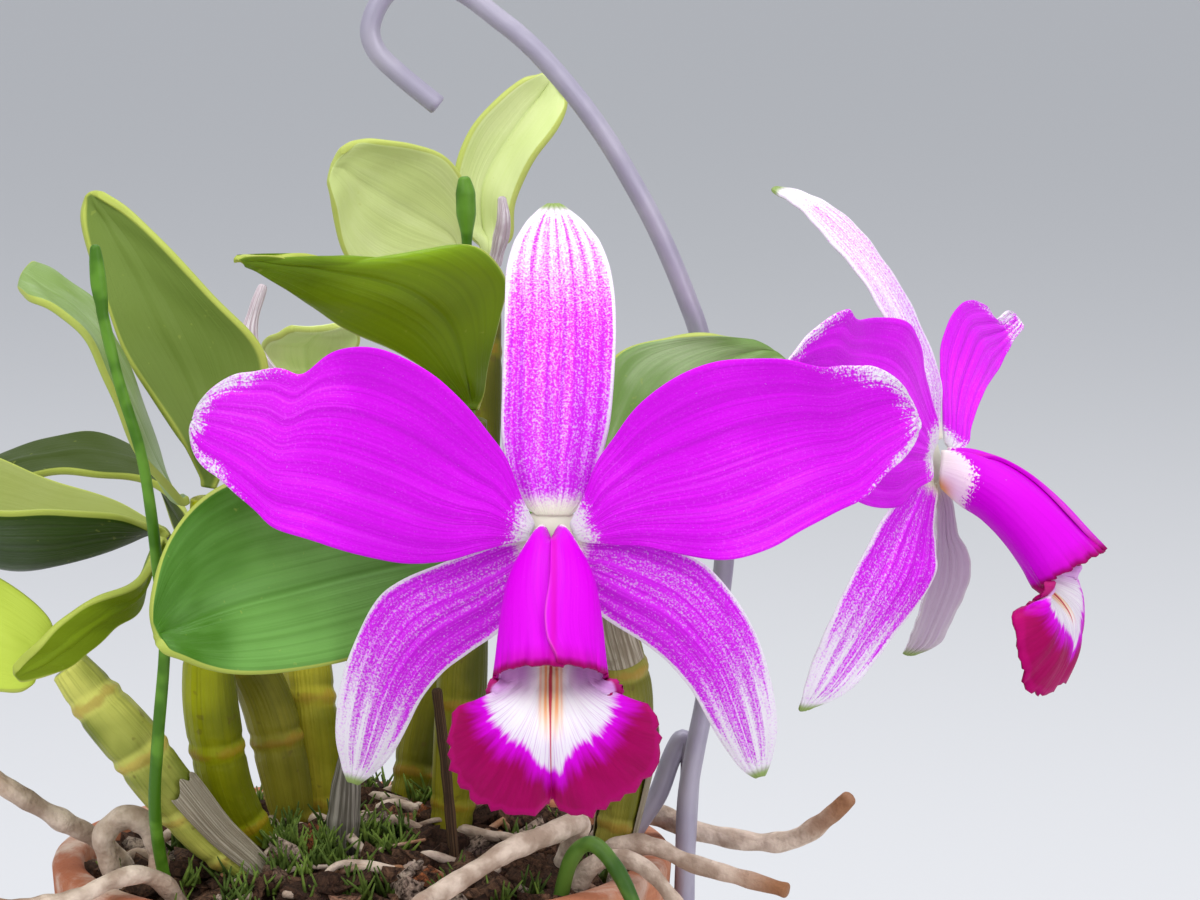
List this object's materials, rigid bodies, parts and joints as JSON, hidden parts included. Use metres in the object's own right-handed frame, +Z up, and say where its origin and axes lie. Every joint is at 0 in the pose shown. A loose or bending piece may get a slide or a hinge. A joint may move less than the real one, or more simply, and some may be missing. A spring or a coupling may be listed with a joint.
{
  "type": "potted cattleya orchid",
  "caption": "Flowering cattleya orchid with broad lip, leafy canes and aerial roots, growing in a round clay pot with a hooked wire hanger.",
  "frame": {"origin": "centre of the pot's flat base", "axes": "+Z up, -Y the way the main bloom faces, +X to a viewer's right when looking at the main bloom"},
  "size_m": [0.2102, 0.144, 0.2451],
  "materials": {
    "clay": "matte fired clay",
    "bark": "rough bark chips",
    "wire": "dull zinc coat",
    "leaf": "satin leaf",
    "leaf_pale": "satin leaf",
    "cane": "satin stem",
    "root": "dry velamen",
    "dry": "papery",
    "stem": "satin stem",
    "petal": "soft petal",
    "lip": "velvety petal",
    "sepal": "soft petal",
    "column": "waxy",
    "pedicel": "waxy stem"
  },
  "bodies": {
    "root": {"pot": "clay", "potting_medium": "bark", "hanger": "wire", "cane_a": "cane", "cane_b": "cane", "cane_c": "cane", "cane_d": "cane", "cane_e": "cane", "cane_f": "cane", "cane_g": "cane", "leaf_1": "leaf", "leaf_2": "leaf", "leaf_3": "leaf", "leaf_4": "leaf", "leaf_5": "leaf_pale", "leaf_6": "leaf", "leaf_8": "leaf", "leaf_9": "leaf", "leaf_10": "leaf_pale", "leaf_11": "leaf_pale", "leaf_12": "leaf_pale", "leaf_13": "leaf", "root_back_right": "root", "root_right": "root", "root_low_right": "root", "root_front": "root", "root_left": "root", "root_low_left": "root", "root_arch": "root", "green_stem": "stem", "seed_stalk_1": "stem", "seed_stalk_2": "stem", "peduncle": "stem", "dry_stump": "dry", "bract_1": "dry", "bract_2": "dry", "stake": "bark", "flower_1_dorsal_sepal": "sepal", "flower_1_sepal_left": "sepal", "flower_1_sepal_right": "sepal", "flower_1_petal_left": "petal", "flower_1_petal_right": "petal", "flower_1_lip": "lip", "flower_1_column": "column", "flower_1_pedicel": "pedicel", "flower_2_dorsal_sepal": "sepal", "flower_2_sepal_left": "sepal", "flower_2_sepal_right": "sepal", "flower_2_petal_left": "petal", "flower_2_petal_right": "petal", "flower_2_lip": "lip", "flower_2_column": "column", "flower_2_pedicel": "pedicel"}
  },
  "joints": []
}
